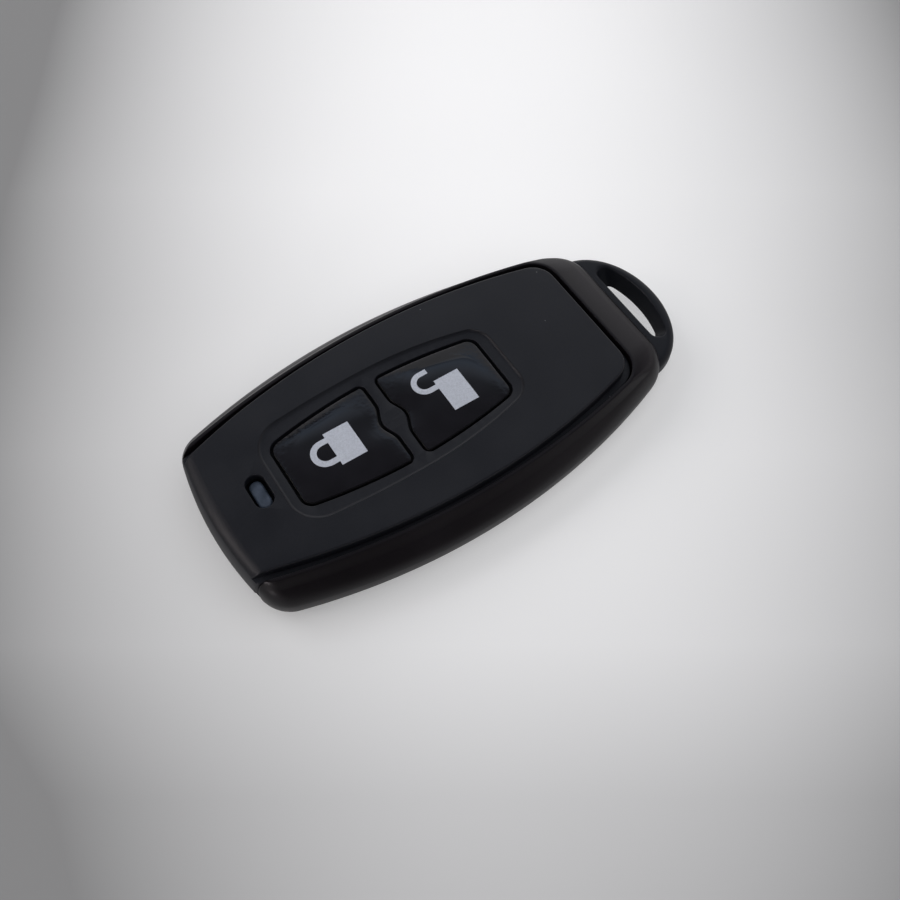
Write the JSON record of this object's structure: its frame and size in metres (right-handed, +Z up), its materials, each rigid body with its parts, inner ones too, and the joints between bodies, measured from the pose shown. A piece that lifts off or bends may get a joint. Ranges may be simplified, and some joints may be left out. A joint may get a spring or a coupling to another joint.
{
  "type": "wireless remote control",
  "caption": "Slim barrel-shaped wireless remote on a key loop: matt front panel in a U-shaped side frame, lock and unlock buttons under glossy domed labels, and a small indicator window.",
  "frame": {"origin": "on the surface that the remote rests on, under the middle of its bounding box", "axes": "+X along the length towards the key loop, +Y across, +Z up out of the button face"},
  "size_m": [0.073, 0.037, 0.0096],
  "materials": {
    "cover_plastic": "fine matt black ABS with a cool grey cast",
    "frame_plastic": "satin near-black painted plastic with a soft warm sheen",
    "button_plastic": "satin black moulded plastic",
    "label_epoxy": "clear epoxy dome over black, high gloss",
    "lens_plastic": "frosted slate-blue light guide",
    "led_body": "white moulded package",
    "board_laminate": "green solder mask on glass laminate",
    "switch_plastic": "black moulded plastic",
    "contact_steel": "plain nickel-plated sheet",
    "chip_plastic": "black moulding compound",
    "chip_ceramic": "tan ceramic with tinned ends",
    "antenna_copper": "bare copper track",
    "cell_steel": "bright nickel-plated can",
    "screw_steel": "zinc-plated steel"
  },
  "bodies": {
    "case": {"front_cover": "cover_plastic", "back_cover": "cover_plastic", "side_frame": "frame_plastic", "led_lens": "lens_plastic", "status_led": "led_body", "circuit_board": "board_laminate", "lock_switch_base": "switch_plastic", "lock_switch_cover": "contact_steel", "unlock_switch_base": "switch_plastic", "unlock_switch_cover": "contact_steel", "clock_crystal": "contact_steel", "controller_chip": "chip_plastic", "saw_resonator": "contact_steel", "output_transistor": "chip_plastic", "supply_capacitor": "chip_ceramic", "filter_capacitor": "chip_ceramic", "led_resistor": "chip_plastic", "pull_up_resistor": "chip_plastic", "loop_antenna": "antenna_copper", "coin_cell": "cell_steel", "positive_contact": "contact_steel", "negative_contact": "contact_steel", "board_screw_1": "screw_steel", "board_screw_2": "screw_steel"},
    "lock_button": {"lock_button": "button_plastic", "lock_label": "label_epoxy"},
    "lock_plunger": {"lock_switch_plunger": "switch_plastic"},
    "unlock_button": {"unlock_button": "button_plastic", "unlock_label": "label_epoxy"},
    "unlock_plunger": {"unlock_switch_plunger": "switch_plastic"}
  },
  "joints": [
    {"name": "lock_button_press", "type": "slide", "parent": "case", "child": "lock_button", "axis": [0, 0, -1], "range_m": [0, 0.00035], "stiffness_N_per_m": 5000},
    {"name": "lock_plunger_press", "type": "slide", "parent": "case", "child": "lock_plunger", "axis": [0, 0, -1], "range_m": [0, 0.00035]},
    {"name": "unlock_button_press", "type": "slide", "parent": "case", "child": "unlock_button", "axis": [0, 0, -1], "range_m": [0, 0.00035], "stiffness_N_per_m": 5000},
    {"name": "unlock_plunger_press", "type": "slide", "parent": "case", "child": "unlock_plunger", "axis": [0, 0, -1], "range_m": [0, 0.00035]}
  ],
  "couplings": [
    {"joint": "lock_plunger_press", "follows": "lock_button_press", "ratio": 1},
    {"joint": "unlock_plunger_press", "follows": "unlock_button_press", "ratio": 1}
  ]
}
